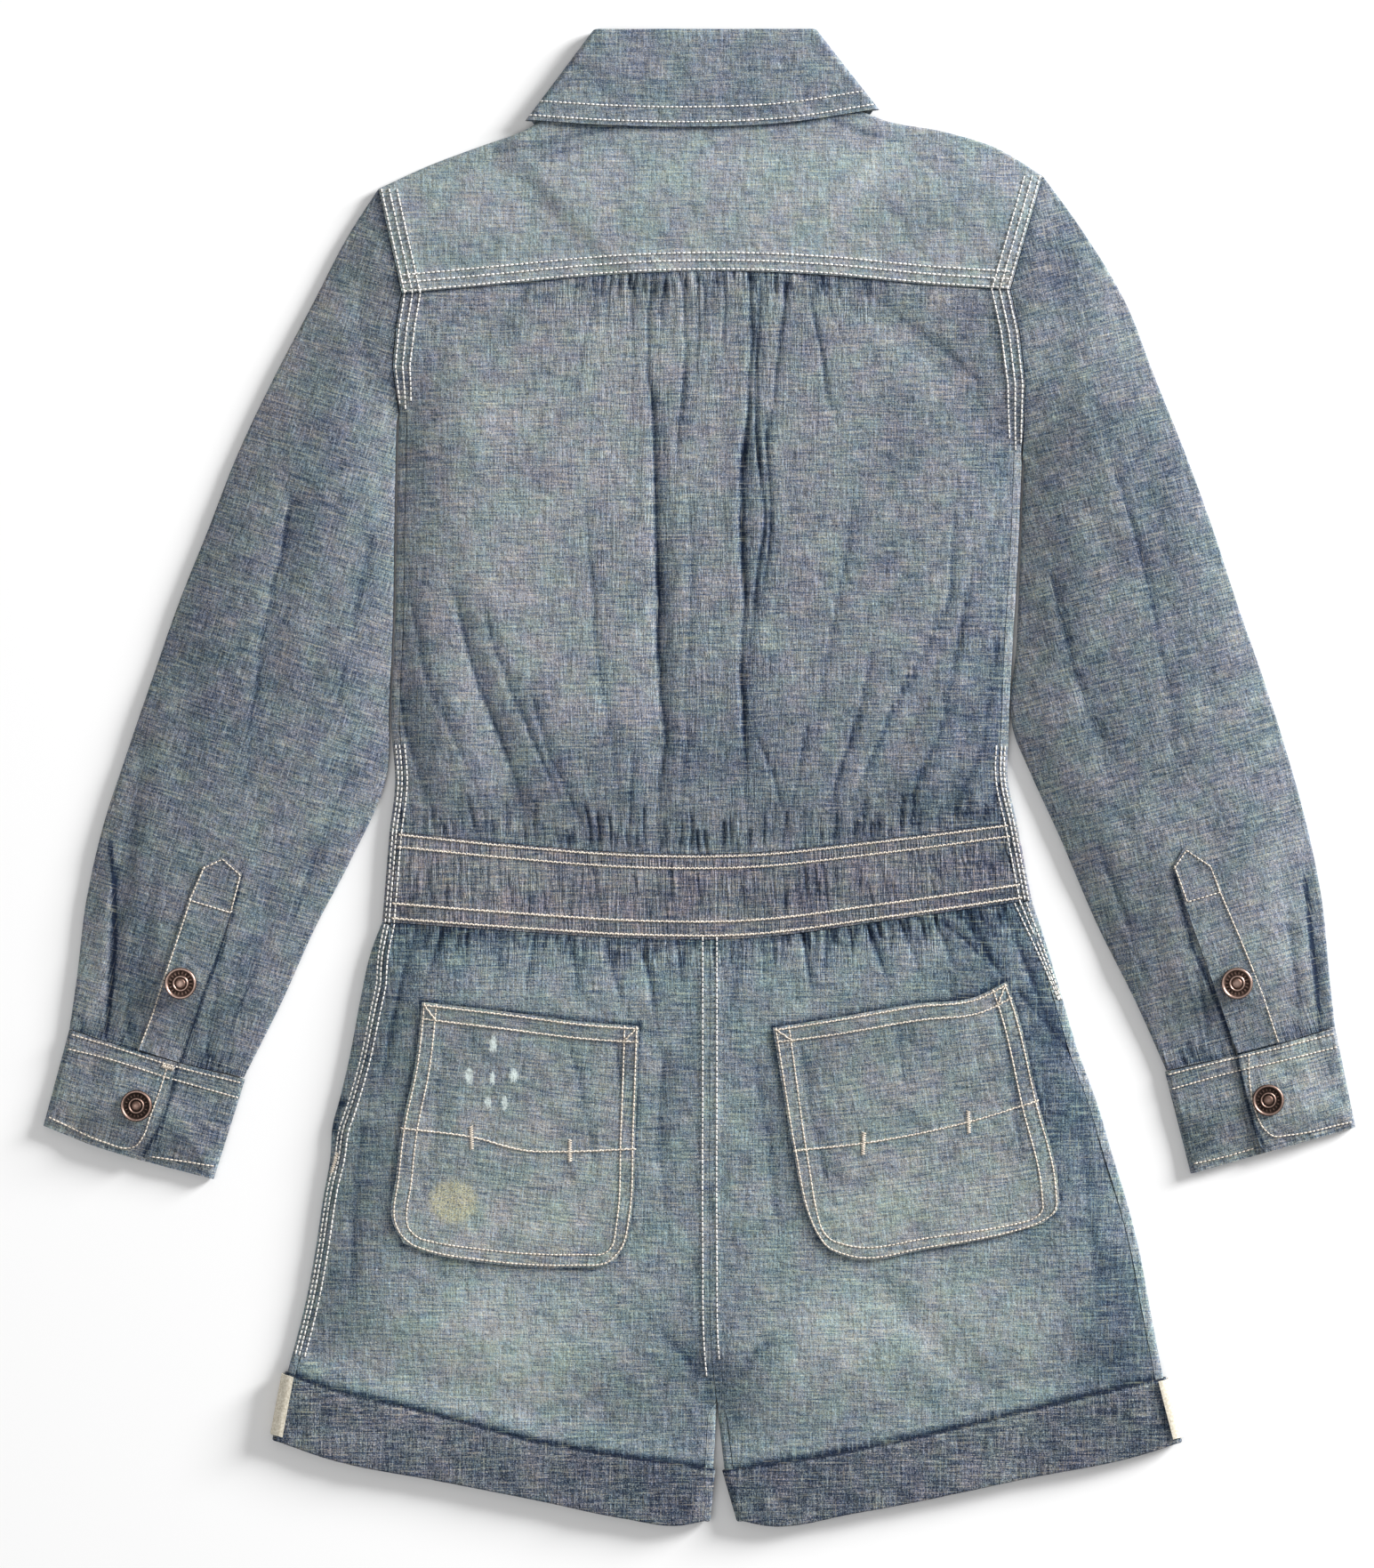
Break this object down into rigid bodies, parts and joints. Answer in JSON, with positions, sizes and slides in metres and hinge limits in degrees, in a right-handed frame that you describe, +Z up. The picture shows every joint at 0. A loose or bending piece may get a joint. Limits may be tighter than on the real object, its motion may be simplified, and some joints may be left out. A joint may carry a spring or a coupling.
{
  "type": "short jumpsuit",
  "caption": "Child's long-sleeved short jumpsuit in faded chambray, lying flat with its back up: collar, yoke, gathered back, elastic waist, patch pockets, turned-up hems.",
  "frame": {"origin": "middle of the garment's outline as it lies, on the surface that it lies on", "axes": "+Z up, out of the garment's back; +Y towards the collar; +X to the right as seen from above, the wearer's right"},
  "size_m": [0.7086, 0.808, 0.0137],
  "materials": {
    "chambray": "washed plain weave",
    "faded_chambray": "washed plain weave, faded",
    "dark_chambray": "washed plain weave, less faded",
    "seam_tape": "cotton tape",
    "snap_metal": "antique copper plating, worn"
  },
  "bodies": {
    "root": {"back_bodice": "chambray", "front_bodice_left": "chambray", "front_bodice_right": "chambray", "front_placket": "chambray", "waistband_back": "chambray", "waistband_front_left": "chambray", "waistband_front_right": "chambray", "shorts_back_left": "chambray", "shorts_back_right": "chambray", "shorts_front_left": "chambray", "shorts_front_right": "chambray", "sleeve_left": "chambray", "sleeve_right": "chambray", "sleeve_placket_left": "chambray", "sleeve_placket_right": "chambray", "collar": "chambray", "collar_stand": "chambray", "back_yoke": "faded_chambray", "pocket_left": "faded_chambray", "pocket_right": "faded_chambray", "cuff_left": "faded_chambray", "cuff_right": "faded_chambray", "turn_up_left": "dark_chambray", "turn_up_right": "dark_chambray", "hem_tape_left": "seam_tape", "hem_tape_right": "seam_tape", "snap_placket_left": "snap_metal", "snap_placket_right": "snap_metal", "snap_cuff_left": "snap_metal", "snap_cuff_right": "snap_metal", "snap_front_1": "snap_metal", "snap_front_2": "snap_metal", "snap_front_3": "snap_metal", "snap_front_4": "snap_metal", "snap_front_5": "snap_metal", "snap_front_6": "snap_metal", "snap_front_7": "snap_metal", "snap_front_8": "snap_metal"}
  },
  "joints": []
}
